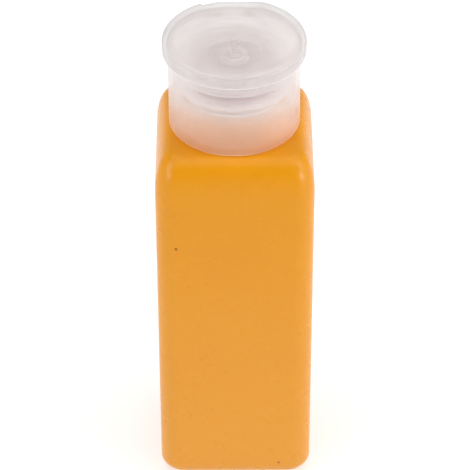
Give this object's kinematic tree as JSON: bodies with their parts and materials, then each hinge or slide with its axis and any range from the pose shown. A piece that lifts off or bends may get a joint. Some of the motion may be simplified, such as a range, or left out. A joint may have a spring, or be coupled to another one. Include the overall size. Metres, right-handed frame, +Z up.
{
  "type": "solvent pump dispenser bottle",
  "caption": "Square orange bottle with a clear screw-on pump head: a spring-return dish pumps solvent up through its nozzle onto a pad, under a hinged flip lid.",
  "frame": {"origin": "centre of the base, on the plane that the bottle stands on", "axes": "+Z up along the bottle and pump, +Y towards the lid hinge, so the front faces -Y, +X to the right seen from the front"},
  "size_m": [0.048, 0.048, 0.1571],
  "materials": {
    "bottle_hdpe": "satin",
    "head_pp": "satin",
    "natural_pp": "satin",
    "piston_pe": "satin",
    "tube_pe": "satin",
    "foam": "matte",
    "steel": "polished"
  },
  "bodies": {
    "bottle": {"bottle": "bottle_hdpe"},
    "pump": {"pump_housing": "natural_pp", "chaplet": "natural_pp", "ball_retainer": "natural_pp", "dip_tube": "tube_pe", "neck_gasket": "foam", "return_spring": "steel"},
    "closure": {"closure": "head_pp"},
    "lid": {"flip_lid": "head_pp"},
    "dish": {"press_dish": "head_pp", "nozzle_insert": "natural_pp", "stem": "natural_pp", "piston": "piston_pe", "piston_foot": "natural_pp"},
    "inlet_ball": {"inlet_ball": "steel"},
    "outlet_ball": {"outlet_ball": "steel"}
  },
  "joints": [
    {"name": "head_lift", "type": "slide", "parent": "bottle", "child": "pump", "axis": [0, 0, 1], "range_m": [0, 0.00353]},
    {"name": "closure_turn", "type": "hinge", "parent": "pump", "child": "closure", "pos_m": [0, 0, 0.1279], "axis": [0, 0, 1], "range_deg": [0, 400]},
    {"name": "lid_hinge", "type": "hinge", "parent": "closure", "child": "lid", "pos_m": [0, 0.021, 0.1513], "axis": [-1, 0, 0], "range_deg": [0, 165]},
    {"name": "dish_press", "type": "slide", "parent": "pump", "child": "dish", "axis": [0, 0, -1], "range_m": [0, 0.004], "stiffness_N_per_m": 500, "springref_m": -0.004, "deforming": ["return_spring"]},
    {"name": "inlet_ball_lift", "type": "slide", "parent": "pump", "child": "inlet_ball", "axis": [0, 0, 1], "range_m": [0, 0.0013]},
    {"name": "outlet_ball_lift", "type": "slide", "parent": "dish", "child": "outlet_ball", "axis": [0, 0, 1], "range_m": [0, 0.0009]}
  ],
  "couplings": [
    {"joint": "head_lift", "follows": "closure_turn", "m_per_rad": 0.00050532}
  ]
}
